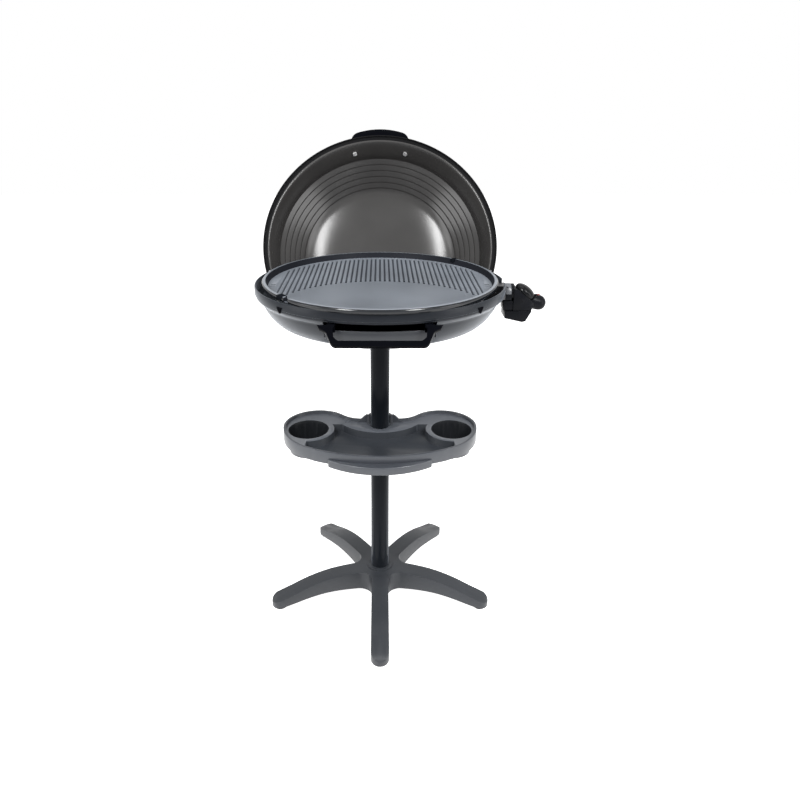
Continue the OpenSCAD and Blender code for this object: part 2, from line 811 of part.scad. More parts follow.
module controller_box() {
    color([0.07, 0.07, 0.08]) difference() {
        rotate([90, 0, 0]) translate([0, 0, -ctl_hw - 2]) linear_extrude(2 * ctl_hw + 4)
            polygon([
                [box_x0, inlet_z - 3], [inlet_x + 8, inlet_z - 12], [inlet_x + 16, inlet_z - 10],
                [inlet_x + 28, ctl_split_z], [box_x0, ctl_split_z]
            ]);
        translate([inlet_x, ctl_hw - 4, inlet_z]) rotate([-90, 0, 0]) cylinder(r = inlet_r + 2.4, h = 10);
    }
}

module cord_inlet() {
    color([0.05, 0.05, 0.05]) translate([inlet_x, ctl_hw - 4, inlet_z]) rotate([-90, 0, 0]) difference() {
        union() {
            cylinder(r = inlet_r + 2.4, h = 6);
            translate([0, 0, 6]) cylinder(r = inlet_r + 4.4, h = 3);
        }
        translate([0, 0, -e]) cylinder(r = inlet_r, h = 12);
    }
}

module controller_probe() {
    color([0.8, 0.8, 0.82]) translate([probe_tip_x + 4, 0, plug_z]) along_x()
        cylinder(r = probe_r, h = nose_x + 20 - probe_tip_x - 4);
}

module indicator_lamp() {
    color([0.5, 0.08, 0.05]) translate([grip_end[0], 0, grip_end[1] + grip_d / 2 - 2]) {
        cylinder(r = 4, h = 2.5);
        translate([0, 0, 2.5]) intersection() {
            translate([0, 0, -2]) sphere(r = 4.4);
            cylinder(r = 4, h = 5);
        }
    }
}

module control_knob() {
    color([0.06, 0.06, 0.07]) translate([knob_x, 0, knob_z]) rotate([0, knob_tilt, 0]) {
        translate([0, 0, gap]) rotate_extrude($fn = 96) polygon(concat(
            [[0, 0], [knob_d / 2 - 1, 0], [knob_d / 2, 1]],
            [for (a = [0 : 10 : 80]) [knob_d / 2 * cos(a), 4 + (knob_h - 4) * sin(a)]],
            [[0, knob_h]]
        ));
        translate([0, 0, -10]) cylinder(r = knob_shaft_r, h = 11);
    }
}

// ---------------------------------------------------------------- lid

// Places the children, drawn closed in the lid's own frame, in the open position.
module lid_place() {
    translate([0, hinge_y, hinge_z]) rotate([-lid_open, 0, 0])
        translate([0, lid_y - hinge_y, lid_z - hinge_z]) children();
}

// Inside of the dome as [radius, height]: steep wall, ring steps, shallow crown.
flange_r = lid_r - lid_t - lid_flange_w;
wall_curve = [for (t = [0 : 0.2 : 1])
    [flange_r + (ring_r0 - flange_r) * (1 - pow(1 - t, 1.6)), lip_h + (ring_h0 - lip_h) * t]];
ring_run = (ring_r0 - ring_r1) / ring_count;
ring_rise = (ring_h1 - ring_h0) / ring_count;
ring_curve = [for (i = [0 : ring_count - 1]) each [
    [ring_r0 - ring_run * (i + riser_run), ring_h0 + ring_rise * (i + riser_rise)],
    [ring_r0 - ring_run * (i + 1), ring_h0 + ring_rise * (i + 1)]
]];
crown_curve = [for (t = [0.2 : 0.2 : 1]) [ring_r1 * (1 - t), ring_h1 + (lid_depth - ring_h1) * sin(90 * t)]];
dome_curve = concat(wall_curve, ring_curve, crown_curve);

// The dome as a filled solid, grown outward by t.
module dome_form(t, below) {
    rotate_extrude($fn = 128) polygon(concat(
        [[0, -below], [lid_r - lid_t + t, -below], [lid_r - lid_t + t, lip_h + t]],
        [for (p = dome_curve) [p[0] == 0 ? 0 : p[0] + t * 0.8, p[1] + t * 0.9]]
    ));
    cylinder(r = 1, h = e);
}

// The dome with its flattened back.
module lid_form(t, below) {
    intersection() {
        dome_form(t, below);
        translate([0, lid_back - back_r, -10]) cylinder(r = back_r - lid_t + t, h = lid_depth + 40, $fn = 128);
    }
}

module lid_shell() {
    color([0.45, 0.42, 0.39]) lid_place() difference() {
        lid_form(lid_t, 0);
        lid_form(0, 1);
        both_sides() handle_screw_place() cylinder(r = 2.5, h = 40, center = true);
        both_sides() rivet_places() cylinder(r = rivet_r, h = 20, center = true);
    }
}

// Frame of one handle screw: Z points out through the lid's wall.
module handle_screw_place() {
    a = wall_curve[2];
    b = wall_curve[3];
    seat = (a + b) / 2;
    rotate(asin(handle_screw_x / seat[0])) translate([0, -seat[0], seat[1]])
        rotate([atan2(b[1] - a[1], a[0] - b[0]), 0, 0]) children();
}

// Plan of the handle: arched front and round corners, with the front moved back.
module handle_plan(back, corner) {
    offset(r = corner, $fn = 48) offset(delta = -corner) intersection() {
        translate([-handle_hw, handle_y]) square([2 * handle_hw, handle_l + back]);
        translate([0, handle_y + handle_arc_r + back]) circle(r = handle_arc_r, $fn = 96);
    }
}

module lid_handle() {
    color([0.06, 0.06, 0.07]) lid_place() difference() {
        translate([0, 0, handle_h0]) linear_extrude(handle_t) difference() {
            handle_plan(0, handle_corner);
            intersection() {
                handle_plan(handle_bar_w, handle_slot_corner);
                slot_x = handle_hw - handle_arm_w;
                translate([-slot_x, handle_y]) square([2 * slot_x, handle_l]);
            }
        }
        lid_form(lid_t, 20);
        both_sides() handle_screw_place() cylinder(r = 2.5, h = 18);
    }
}

module lid_handle_screws() {
    color([0.85, 0.85, 0.87]) lid_place() both_sides() handle_screw_place() {
        translate([0, 0, -3 - 2 * fit]) cylinder(r = 5.5, h = 3);
        translate([0, 0, -1]) cylinder(r = 2.5, h = 19);
    }
}

// Rivet places on the flange, over a hinge arm's tab.
module rivet_places() {
    for (a = [rivet_a0, rivet_a1]) rotate(a) translate([flange_r + 5.5, 0, lip_h]) children();
}

module hinge_arm() {
    pivot = [hinge_y - lid_y, hinge_z - lid_z];
    lid_place() difference() {
        union() {
            translate([arm_x, pivot[0], pivot[1]]) along_x() cylinder(r = arm_r, h = hinge_arm_t);
            block([arm_x, pivot[0] - arm_r, pivot[1]], [arm_x + hinge_arm_t, pivot[0] + arm_back, lip_h]);
            rotate(rivet_a0 - 2.5) rotate_extrude(angle = rivet_a1 - rivet_a0 + 4)
                translate([flange_r + 1.5, lip_h - arm_tab_t]) square([7.5, arm_tab_t]);
        }
        translate([arm_x - 1, pivot[0], pivot[1]]) along_x()
            cylinder(r = hinge_pin_d / 2 + fit, h = hinge_arm_t + 2);
        rivet_places() cylinder(r = rivet_r, h = 20, center = true);
    }
}

module hinge_arm_left() {
    color([0.5, 0.5, 0.52]) mirror([1, 0, 0]) hinge_arm();
}

module hinge_arm_right() {
    color([0.5, 0.5, 0.52]) hinge_arm();
}

module hinge_rivets() {
    color([0.8, 0.8, 0.8]) lid_place() both_sides() rivet_places() {
        translate([0, 0, -arm_tab_t - 1.5]) cylinder(r = rivet_r + 1.5, h = 1.5);
        translate([0, 0, -arm_tab_t - e]) cylinder(r = rivet_r, h = arm_tab_t + lid_t + e);
        translate([0, 0, lid_t]) cylinder(r = rivet_r + 1.5, h = 1.5);
    }
}

base_star();
foot_pads();
pole_plug();
hub_washer();
hub_bolt();
lower_pole();
pole_connector();
upper_pole();
shelf_collar();
shelf_tray();
shelf_front_grip();
bowl();
pole_socket();
socket_screws();
tray_rails();
reflector_posts();
heat_reflector();
reflector_screws();
hinge_pin_left();
hinge_pin_right();
rim_clips();
drip_tray();
drip_tray_handle();
grill_plate();
heating_element();
terminal_pins();
terminal_shroud();
controller_housing();
controller_box();
controller_probe();
indicator_lamp();
cord_inlet();
control_knob();
lid_shell();
lid_handle();
lid_handle_screws();
hinge_arm_left();
hinge_arm_right();
hinge_rivets();
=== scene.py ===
import math
import bmesh
import bpy
from mathutils import Matrix, Vector


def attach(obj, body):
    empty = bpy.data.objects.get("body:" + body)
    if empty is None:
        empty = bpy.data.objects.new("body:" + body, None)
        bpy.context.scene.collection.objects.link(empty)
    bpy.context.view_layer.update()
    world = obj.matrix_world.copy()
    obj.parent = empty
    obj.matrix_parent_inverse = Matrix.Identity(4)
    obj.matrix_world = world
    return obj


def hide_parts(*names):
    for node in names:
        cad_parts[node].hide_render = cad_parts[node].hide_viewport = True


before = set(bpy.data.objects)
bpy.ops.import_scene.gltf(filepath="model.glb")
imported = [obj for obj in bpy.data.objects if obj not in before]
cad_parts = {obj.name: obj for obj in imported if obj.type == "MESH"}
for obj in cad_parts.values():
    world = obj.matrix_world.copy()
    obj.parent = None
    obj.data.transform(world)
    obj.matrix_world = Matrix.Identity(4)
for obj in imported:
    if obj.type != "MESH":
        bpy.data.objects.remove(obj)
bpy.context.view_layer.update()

# The studio: a large pale floor, a white surround, five soft lamps and the camera.
# The camera stands a little above the grill and looks down at it from the front.
scene = bpy.context.scene
scene.view_settings.view_transform = "Standard"


def link(piece):
    scene.collection.objects.link(piece)
    return piece


camera = link(bpy.data.objects.new("camera", bpy.data.cameras.new("camera")))
camera.location = (0, -1.445, 1.197)
camera.rotation_euler = (math.radians(69.7), 0, 0)
camera.data.lens = 29.925
camera.data.shift_x = 0.025
camera.data.shift_y = -0.0625
scene.camera = camera


def lamp(name, place, target, size, watts):
    light = bpy.data.lights.new(name, "AREA")
    light.shape = "RECTANGLE"
    light.size, light.size_y = size
    light.energy = watts
    holder = link(bpy.data.objects.new(name, light))
    holder.location = place
    holder.rotation_euler = (Vector(target) - Vector(place)).to_track_quat("-Z", "Y").to_euler()


lamp("left_softbox", (-2.2, -1.0, 1.2), (0, 0, 0.6), (1.0, 2.0), 26)
lamp("right_softbox", (2.2, -1.0, 1.2), (0, 0, 0.6), (1.0, 2.0), 26)
lamp("upper_left_softbox", (-1.0, -1.3, 2.15), (0, 0.3, 0.9), (0.4, 1.0), 44)
lamp("upper_right_softbox", (1.0, -1.3, 2.15), (0, 0.3, 0.9), (0.4, 1.0), 44)
lamp("top_softbox", (0, 0.4, 3.0), (0, 0, 0.5), (2.0, 1.4), 16)


def background_rays(nodes, links):
    """1 for rays that should see plain white: from the camera, mirrored or let through."""
    path = nodes.new("ShaderNodeLightPath")
    first = nodes.new("ShaderNodeMath")
    first.operation = "MAXIMUM"
    both = nodes.new("ShaderNodeMath")
    both.operation = "MAXIMUM"
    links.new(path.outputs["Is Camera Ray"], first.inputs[0])
    links.new(path.outputs["Is Glossy Ray"], first.inputs[1])
    links.new(first.outputs[0], both.inputs[0])
    links.new(path.outputs["Is Transmission Ray"], both.inputs[1])
    return both.outputs[0]


world = bpy.data.worlds.new("surround")
world.use_nodes = True
scene.world = world
nodes, links = world.node_tree.nodes, world.node_tree.links
shown = nodes.new("ShaderNodeBackground")
shown.inputs["Strength"].default_value = 1.0
shown.inputs["Color"].default_value = (1, 1, 1, 1)
ambient = nodes["Background"]
ambient.inputs["Color"].default_value = (1, 1, 1, 1)
ambient.inputs["Strength"].default_value = 0.42
mix = nodes.new("ShaderNodeMixShader")
links.new(background_rays(nodes, links), mix.inputs[0])
links.new(ambient.outputs[0], mix.inputs[1])
links.new(shown.outputs[0], mix.inputs[2])
links.new(mix.outputs[0], nodes["World Output"].inputs[0])

floor_mesh = bpy.data.meshes.new("floor")
shape = bmesh.new()
bmesh.ops.create_grid(shape, x_segments=1, y_segments=1, size=8.0)
shape.to_mesh(floor_mesh)
shape.free()
floor = link(bpy.data.objects.new("floor", floor_mesh))
floor_paint = bpy.data.materials.new("floor_paint")
floor_paint.use_nodes = True
nodes, links = floor_paint.node_tree.nodes, floor_paint.node_tree.links
floor_surface = nodes["Principled BSDF"]
floor_surface.inputs["Base Color"].default_value = (0.82, 0.82, 0.82, 1)
floor_surface.inputs["Roughness"].default_value = 0.9
floor_surface.inputs["Specular IOR Level"].default_value = 0.0
floor_surface.inputs["Emission Color"].default_value = (1, 1, 1, 1)
links.new(background_rays(nodes, links), floor_surface.inputs["Emission Strength"])
floor_mesh.materials.append(floor_paint)

# The star base: one moulding of dark glass-filled plastic with five legs and a hub.
# Its legs arch down to round toes, and every edge has a small moulded radius.


def new_group(name, takes, gives):
    tree = bpy.data.node_groups.new(name, "ShaderNodeTree")
    for label, start in takes:
        tree.interface.new_socket(label, in_out="INPUT", socket_type="NodeSocketFloat").default_value = start
    for label in gives:
        tree.interface.new_socket(label, in_out="OUTPUT", socket_type="NodeSocketFloat")
    return tree, tree.nodes.new("NodeGroupInput"), tree.nodes.new("NodeGroupOutput")


def noise(tree, vector, scale_from, detail=3):
    texture = tree.nodes.new("ShaderNodeTexNoise")
    texture.inputs["Detail"].default_value = detail
    tree.links.new(vector, texture.inputs["Vector"])
    tree.links.new(scale_from, texture.inputs["Scale"])
    return texture.outputs["Fac"]


# Moulded skin: fine grain for the surface and a slow cloudiness for tone and gloss.
skin, skin_in, skin_out = new_group(
    "moulded_skin", [("Grain Scale", 900.0), ("Cloud Scale", 6.0)], ["Grain", "Cloud"])
skin_place = skin.nodes.new("ShaderNodeTexCoord").outputs["Object"]
for effect in ("Grain", "Cloud"):
    pattern = noise(skin, skin_place, skin_in.outputs[effect + " Scale"])
    skin.links.new(pattern, skin_out.inputs[effect])


def spread(tree, value, low, high):
    """Stretches the middle of a noise over the range from low to high."""
    span = tree.nodes.new("ShaderNodeMapRange")
    span.inputs["From Min"].default_value = 0.3
    span.inputs["From Max"].default_value = 0.7
    span.inputs["To Min"].default_value = low
    span.inputs["To Max"].default_value = high
    tree.links.new(value, span.inputs["Value"])
    return span.outputs["Result"]


def shade(colour, factor):
    return tuple(min(1.0, c * factor) for c in colour) + (1,)


def moulded(name, colour, rough, grain=900, depth=0.00003, tone=0.12, metal=0.0, coat=0.0, shine=0.5,
            sheen=0.0, ior=1.5):
    """A coated or moulded finish: cloudy tone and gloss over a fine grained surface."""
    material = bpy.data.materials.new(name)
    material.use_nodes = True
    tree = material.node_tree
    surface = tree.nodes["Principled BSDF"]
    surface.inputs["Metallic"].default_value = metal
    surface.inputs["Specular IOR Level"].default_value = shine
    surface.inputs["IOR"].default_value = ior
    surface.inputs["Coat Weight"].default_value = coat
    surface.inputs["Coat Roughness"].default_value = 0.12
    surface.inputs["Sheen Weight"].default_value = sheen
    surface.inputs["Sheen Roughness"].default_value = 0.4
    surface.inputs["Sheen Tint"].default_value = (0.80, 0.88, 1.0, 1.0)
    cover = tree.nodes.new("ShaderNodeGroup")
    cover.node_tree = skin
    cover.inputs["Grain Scale"].default_value = grain
    cloud = cover.outputs["Cloud"]
    tint = tree.nodes.new("ShaderNodeMix")
    tint.data_type = "RGBA"
    tint.inputs["A"].default_value = shade(colour, 1 - tone)
    tint.inputs["B"].default_value = shade(colour, 1 + tone)
    tree.links.new(spread(tree, cloud, 0, 1), tint.inputs["Factor"])
    tree.links.new(tint.outputs["Result"], surface.inputs["Base Color"])
    tree.links.new(spread(tree, cloud, rough * 0.9, rough * 1.12), surface.inputs["Roughness"])
    bump = tree.nodes.new("ShaderNodeBump")
    bump.inputs["Strength"].default_value = 0.6
    bump.inputs["Distance"].default_value = depth
    tree.links.new(cover.outputs["Grain"], bump.inputs["Height"])
    tree.links.new(bump.outputs["Normal"], surface.inputs["Normal"])
    return material


def finish_with(material, *names):
    """Gives a finish to solids that show as they are."""
    for name in names:
        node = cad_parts[name]
        if not node.data.materials:
            node.data.materials.append(material)
        for place in node.material_slots:
            place.material = material


def smooth(piece, degrees):
    piece.data.shade_smooth()
    piece.data.set_sharp_from_angle(angle=math.radians(degrees))


def soften(shape, edges, radius, steps=2):
    """Rounds the given edges to a radius."""
    bmesh.ops.bevel(shape, geom=edges, offset=radius, offset_type="OFFSET", segments=steps, profile=0.5,
                    affect="EDGES", clamp_overlap=True, material=-1)


def rounded(node, name, body, material, radius, steps=2):
    """A copy of a solid with its sharp edges rounded, which stands for it."""
    flat_angle, sharp_angle = math.radians(0.6), math.radians(32)
    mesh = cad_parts[node].data.copy()
    shape = bmesh.new()
    shape.from_mesh(mesh)
    bmesh.ops.remove_doubles(shape, verts=shape.verts, dist=0.00001)
    bmesh.ops.dissolve_limit(shape, angle_limit=flat_angle, verts=shape.verts, edges=shape.edges)
    soften(shape, [e for e in shape.edges if e.is_manifold and e.calc_face_angle() > sharp_angle],
           radius, steps)
    shape.to_mesh(mesh)
    shape.free()
    piece = link(bpy.data.objects.new(name, mesh))
    mesh.materials.clear()
    mesh.materials.append(material)
    smooth(piece, 40)
    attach(piece, body)
    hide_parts(node)
    return piece


base_plastic = moulded("base_plastic", (0.024, 0.0265, 0.031), 0.42, shine=0.35)
star_base = rounded("base_star", "star_base", "stand", base_plastic, 0.003, 3)
leg_count = 5
arch_rise = 0.013
arch_from, arch_to = 0.050, 0.255
arch_cuts = (0.07, 0.09, 0.11, 0.13, 0.15, 0.17, 0.19, 0.21, 0.23)
legs = bmesh.new()
legs.from_mesh(star_base.data)
for i in range(leg_count):
    turned = math.tau * i / leg_count
    along = Vector((math.sin(turned), -math.cos(turned), 0))
    for reach in arch_cuts:
        bmesh.ops.bisect_plane(legs, geom=legs.verts[:] + legs.edges[:] + legs.faces[:], dist=0.00001,
                               plane_co=along * reach, plane_no=along)
for v in legs.verts:
    reach = (math.hypot(v.co.x, v.co.y) - arch_from) / (arch_to - arch_from)
    if 0 < reach < 1:
        v.co.z += arch_rise * math.sin(math.pi * reach)
legs.to_mesh(star_base.data)
legs.free()
smooth(star_base, 40)
pad_rubber = moulded("pad_rubber", (0.02, 0.02, 0.022), 0.75, grain=500, depth=0.0001)
finish_with(pad_rubber, "foot_pads")
zinc = moulded("zinc_plate", (0.55, 0.55, 0.57), 0.35, grain=300, metal=1.0, tone=0.08)
finish_with(zinc, "pole_plug", "hub_washer", "hub_bolt", "pole_connector")

# The pole: two steel tubes, powder coated in satin charcoal, joined at the shelf.
# The lower one stands in the hub and the upper one goes up into the head.
pole_paint = moulded("pole_paint", (0.0020, 0.0028, 0.0045), 0.2, grain=350, depth=0.00004, shine=0.12,
                     sheen=0.4, ior=1.3)
finish_with(pole_paint, "lower_pole", "upper_pole")

# The shelf: a moulded tray with a raised rim, two cup wells, a sunk pocket and a saddle
# behind the pole. A separate lip of the same plastic is the grip along its front.
# The deck is the lightest and smoothest, painted lighter as painted light, and the pocket and
# the wells are painted darker as painted shade, the wells the darkest.


def made(name, shape, material, body, degrees=40):
    """Turns a finished shape into a named piece that rides on a body."""
    mesh = bpy.data.meshes.new(name)
    shape.to_mesh(mesh)
    shape.free()
    mesh.materials.append(material)
    piece = link(bpy.data.objects.new(name, mesh))
    smooth(piece, degrees)
    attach(piece, body)
    return piece


def prism(outline, depth):
    """A flat outline drawn out along one direction."""
    shape = bmesh.new()
    flat = shape.faces.new([shape.verts.new(point) for point in outline])
    grown = bmesh.ops.extrude_face_region(shape, geom=[flat])["geom"]
    bmesh.ops.translate(shape, vec=depth, verts=[v for v in grown if isinstance(v, bmesh.types.BMVert)])
    bmesh.ops.recalc_face_normals(shape, faces=shape.faces)
    return shape


shelf_plastic = moulded("shelf_plastic", (0.040, 0.044, 0.052), 0.32)
shelf = rounded("shelf_tray", "shelf", "stand", shelf_plastic, 0.0018, 2)
# Painted shade and painted light: darker copies of the shelf plastic for the wells and the pocket, where
# shade falls, and a lighter copy for the deck.
well_painted_shade = moulded("well_painted_shade", (0.010, 0.011, 0.013), 0.4, shine=0.2)
pocket_painted_shade = moulded("pocket_painted_shade", (0.024, 0.027, 0.032), 0.36, shine=0.35)
deck_painted_light = moulded("deck_painted_light", (0.080, 0.087, 0.100), 0.30)
for finish in (well_painted_shade, pocket_painted_shade, deck_painted_light):
    shelf.data.materials.append(finish)
well_shade, pocket_shade, deck_light = 1, 2, 3
deck_z, deck_edge = 0.470, 0.001
well_x, well_y, well_r = 0.170, -0.024, 0.0485
well_edge = 0.003
pocket_y = -0.100
for face in shelf.data.polygons:
    x, y, z = face.center
    side_x, side_y, up = face.normal
    from_well = Vector((abs(x) - well_x, y - well_y))
    faces_well = side_x * math.copysign(1, x) * from_well.x + side_y * from_well.y < 0
    faces_pocket = side_x * x + side_y * (y - pocket_y) < 0 and abs(up) < 0.9
    if from_well.length < well_r and z < deck_z - well_edge and (faces_well or up > 0.8):
        face.material_index = well_shade
    elif z < deck_z - deck_edge and (faces_pocket or up > 0.5):
        face.material_index = pocket_shade
    elif z < deck_z + deck_edge and up > 0.9:
        face.material_index = deck_light
wing_y, wing_depth = 0.0125, 0.0064
wing_side = [(0.030, 0.4705), (0.058, 0.4705), (0.053, 0.4720), (0.048, 0.4765), (0.043, 0.4815),
             (0.038, 0.4862), (0.033, 0.4898), (0.030, 0.4910)]
for side, word in ((-1, "left"), (1, "right")):
    wing = prism([(side * x, wing_y, z) for x, z in wing_side], (0, wing_depth, 0))
    made("saddle_wing_" + word, wing, shelf_plastic, "stand")
rounded("shelf_front_grip", "shelf_grip", "stand", shelf_plastic, 0.004, 3)
finish_with(shelf_plastic, "shelf_collar")

# The bowl: an oval tub of heat-proof plastic that holds the plate, the reflector and
# the tray, with a slot for the tray in front and a notch for the plug on the right.
bowl_plastic = moulded("bowl_plastic", (0.0055, 0.0068, 0.0095), 0.32, grain=1100, shine=0.14, sheen=0.3)
bowl_wall = 0.003
bowl_oval = 0.92
bowl_bottom = 0.737
bowl_rim = 0.828
tub_side = [
    (0.0, 0.737), (0.100, 0.737), (0.186, 0.737), (0.208, 0.739), (0.221, 0.743), (0.231, 0.7485),
    (0.240, 0.7565), (0.2475, 0.765), (0.254, 0.775), (0.2595, 0.7855), (0.264, 0.795), (0.2695, 0.800),
    (0.2745, 0.8055), (0.2756, 0.8105)]
tub_band = [(0.2768, 0.8112), (0.277, 0.812), (0.277, 0.8265), (0.2762, 0.828), (0.2748, 0.828)]
slot_half, slot_low, slot_high = 0.110, 0.7645, 0.806
plug_half, plug_low, plug_high = 0.021, 0.784, 0.829
plug_from = 0.200
pole_hole_r = 0.0285
cut_to = 0.400


def curve_through(points, steps):
    """Points on a smooth curve through the given ones."""
    ends = [points[0]] + points + [points[-1]]
    line = []
    for a, b, c, d in zip(ends, ends[1:], ends[2:], ends[3:]):
        for i in range(steps):
            t = i / steps
            line.append(tuple(
                0.5 * (2 * q + (r - p) * t + (2 * p - 5 * q + 4 * r - s) * t ** 2
                       + (3 * q - p - 3 * r + s) * t ** 3)
                for p, q, r, s in zip(a, b, c, d)))
    return line + [points[-1]]


def spun(profile, steps):
    """A round shape turned from a profile of (radius, height) points about the Z axis."""
    shape = bmesh.new()
    points = [shape.verts.new((r, 0, z)) for r, z in profile]
    edges = [shape.edges.new(pair) for pair in zip(points, points[1:])]
    bmesh.ops.spin(shape, geom=points + edges, cent=(0, 0, 0), axis=(0, 0, 1), angle=math.tau,
                   steps=steps, use_merge=True, use_duplicate=False)
    bmesh.ops.remove_doubles(shape, verts=shape.verts, dist=0.00001)
    bmesh.ops.recalc_face_normals(shape, faces=shape.faces)
    return shape


def cut_out(shape, cutters):
    """Cuts solids out of a closed shape and gives back the shape that is left."""
    work = []
    for solid in [shape] + cutters:
        mesh = bpy.data.meshes.new("cutting")
        solid.to_mesh(mesh)
        solid.free()
        work.append(link(bpy.data.objects.new("cutting", mesh)))
    for tool in work[1:]:
        step = work[0].modifiers.new("cut", "BOOLEAN")
        step.operation = "DIFFERENCE"
        step.solver = "EXACT"
        step.object = tool
    left = bmesh.new()
    left.from_object(work[0], bpy.context.evaluated_depsgraph_get())
    for holder in work:
        mesh = holder.data
        bpy.data.objects.remove(holder)
        bpy.data.meshes.remove(mesh)
    return left


def box_between(low, high):
    shape = bmesh.new()
    bmesh.ops.create_cube(shape, size=1)
    size = Vector(high) - Vector(low)
    bmesh.ops.scale(shape, vec=size, verts=shape.verts)
    bmesh.ops.translate(shape, vec=Vector(low) + size / 2, verts=shape.verts)
    return shape


def rounded_box(low, high, radius):
    """A box between two corners with every edge rounded."""
    shape = box_between(low, high)
    soften(shape, shape.edges[:], radius)
    return shape


def rod(place, radius, length, edge=0.0008, sides=48):
    """A round bar from the origin of place along its Z axis, with rounded ends."""
    shape = bmesh.new()
    bmesh.ops.create_cone(shape, cap_ends=True, segments=sides, radius1=radius, radius2=radius, depth=length)
    bmesh.ops.translate(shape, vec=(0, 0, length / 2), verts=shape.verts)
    rims = [e for e in shape.edges if e.calc_face_angle() > 1]
    if edge:
        soften(shape, rims, edge)
    bmesh.ops.transform(shape, matrix=place, verts=shape.verts)
    return shape


side_curve = curve_through(tub_side, 4)
inner_curve = [(max(0.0, r - bowl_wall), z + bowl_wall * (1 - (z - bowl_bottom) / (bowl_rim - bowl_bottom)))
               for r, z in side_curve]
bowl_sides = 160
tub_shape = spun(side_curve + tub_band + inner_curve[::-1], bowl_sides)
bmesh.ops.scale(tub_shape, vec=(1, bowl_oval, 1), verts=tub_shape.verts)
tub_cuts = [
    box_between((-slot_half, -cut_to, slot_low), (slot_half, 0, slot_high)),
    box_between((plug_from, -plug_half, plug_low), (cut_to, plug_half, plug_high)),
    rod(Matrix.Translation((0, 0, bowl_bottom - 0.001)), pole_hole_r, 0.02, 0)]
tub = made("tub", cut_out(tub_shape, tub_cuts), bowl_plastic, "head", 35)
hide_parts("bowl")

hinge_y = 0.124
hinge_z = 0.790
lid_open = math.radians(121)
boss_x, boss_r, boss_length = 0.214, 0.013, 0.0415
peg_x, peg_r, peg_length = 0.2015, 0.004, 0.060
peg_side, peg_reach = 0.0115, 0.018
for side, word in ((-1, "left"), (1, "right")):
    turn = Matrix.Rotation(math.radians(90 * side), 4, "Y")
    boss = rod(Matrix.Translation((side * boss_x, hinge_y, hinge_z)) @ turn, boss_r, boss_length, 0.0015)
    made("hinge_boss_" + word, boss, bowl_plastic, "head")
    stop_y = hinge_y + peg_side * math.cos(lid_open) + peg_reach * math.sin(lid_open)
    stop_z = hinge_z - peg_side * math.sin(lid_open) + peg_reach * math.cos(lid_open)
    peg = rod(Matrix.Translation((side * peg_x, stop_y, stop_z)) @ turn, peg_r, peg_length)
    made("lid_stop_" + word, peg, bowl_plastic, "head")
rest_low, rest_high = (0.240, -0.009, 0.809), (0.2605, 0.009, 0.8189)
for i, turned in enumerate((45, 135, 225, 315)):
    rest = rounded_box(rest_low, rest_high, 0.0012)
    bmesh.ops.transform(rest, matrix=Matrix.Rotation(math.radians(turned), 4, "Z"), verts=rest.verts)
    made("plate_rest_%d" % (i + 1), rest, bowl_plastic, "head")
socket_plastic = moulded("socket_plastic", (0.008, 0.0085, 0.010), 0.45, shine=0.2)
finish_with(socket_plastic, "pole_socket")
finish_with(zinc, "socket_screws", "tray_rails", "reflector_posts", "reflector_screws",
            "hinge_pin_left", "hinge_pin_right")

# The heat reflector: a pressed ring of steel sheet under the element, which throws the
# heat up to the plate and keeps it off the bowl.
reflector_steel = moulded("reflector_steel", (0.30, 0.30, 0.31), 0.4, grain=200, metal=1.0)
finish_with(reflector_steel, "heat_reflector")

# The drip tray: a coated steel pan that slides in the slot, with a U-shaped handle of
# glossy black plastic that slopes down in front of it.
tray_coating = moulded("tray_coating", (0.030, 0.032, 0.036), 0.35, shine=0.3)
rounded("drip_tray", "drip_pan", "drip", tray_coating, 0.0008, 2)
black_gloss = moulded("black_gloss", (0.0018, 0.002, 0.003), 0.22, grain=1400, depth=0.00001, shine=0.03,
                      ior=1.25)
rounded("drip_tray_handle", "pan_handle", "drip", black_gloss, 0.0032, 3)

# The rim clips: two small catches of glossy black plastic in the bowl's band, in front
# on the left and right. Each shows a flat triangular face that points down.
finish_with(black_gloss, "rim_clips")
clip_back, clip_front = -0.0005, 0.0018
clip_face = ((-0.008, 0.818), (0.008, 0.818), (0.001, 0.805))
clip_place = Matrix.Translation((0.1996, -0.1767, 0)) @ Matrix.Rotation(math.radians(-46.3), 4, "Z")
for side, word in ((-1, "left"), (1, "right")):
    clip = prism([(clip_back, y, z) for y, z in clip_face], (clip_front - clip_back, 0, 0))
    bmesh.ops.transform(clip, matrix=Matrix.Diagonal((side, 1, 1, 1)) @ clip_place, verts=clip.verts)
    bmesh.ops.recalc_face_normals(clip, faces=clip.faces)
    made("clip_cover_" + word, clip, black_gloss, "head")

# The grill plate: cast aluminium with a dark grey non-stick coating, grooves in its
# back half, a smooth front, a raised rim and a skirt that stands over the bowl.
# The groove ends, two drain marks and the two notches in the rim are the darkest: near-black
# pieces that are painted shadow at the groove ends and in the notches, and two near-black
# drain dashes. The groove floors and the rim's inner wall are painted darker as painted shade,
# and the skirt's outside is a dark gloss finish that also carries painted reflection.
coating = moulded("plate_coating", (0.125, 0.139, 0.160), 0.34, grain=1600, depth=0.00002, shine=0.8)
cooking_plate = rounded("grill_plate", "cooking_plate", "plate", coating, 0.0008, 2)
# Dark gloss on the skirt's outside: partly the finish, and partly painted reflection of a dark surround.
rim_gloss_and_shade = moulded("plate_rim_gloss", (0.005, 0.006, 0.008), 0.14, grain=1600, depth=0.00001, shine=0.35)
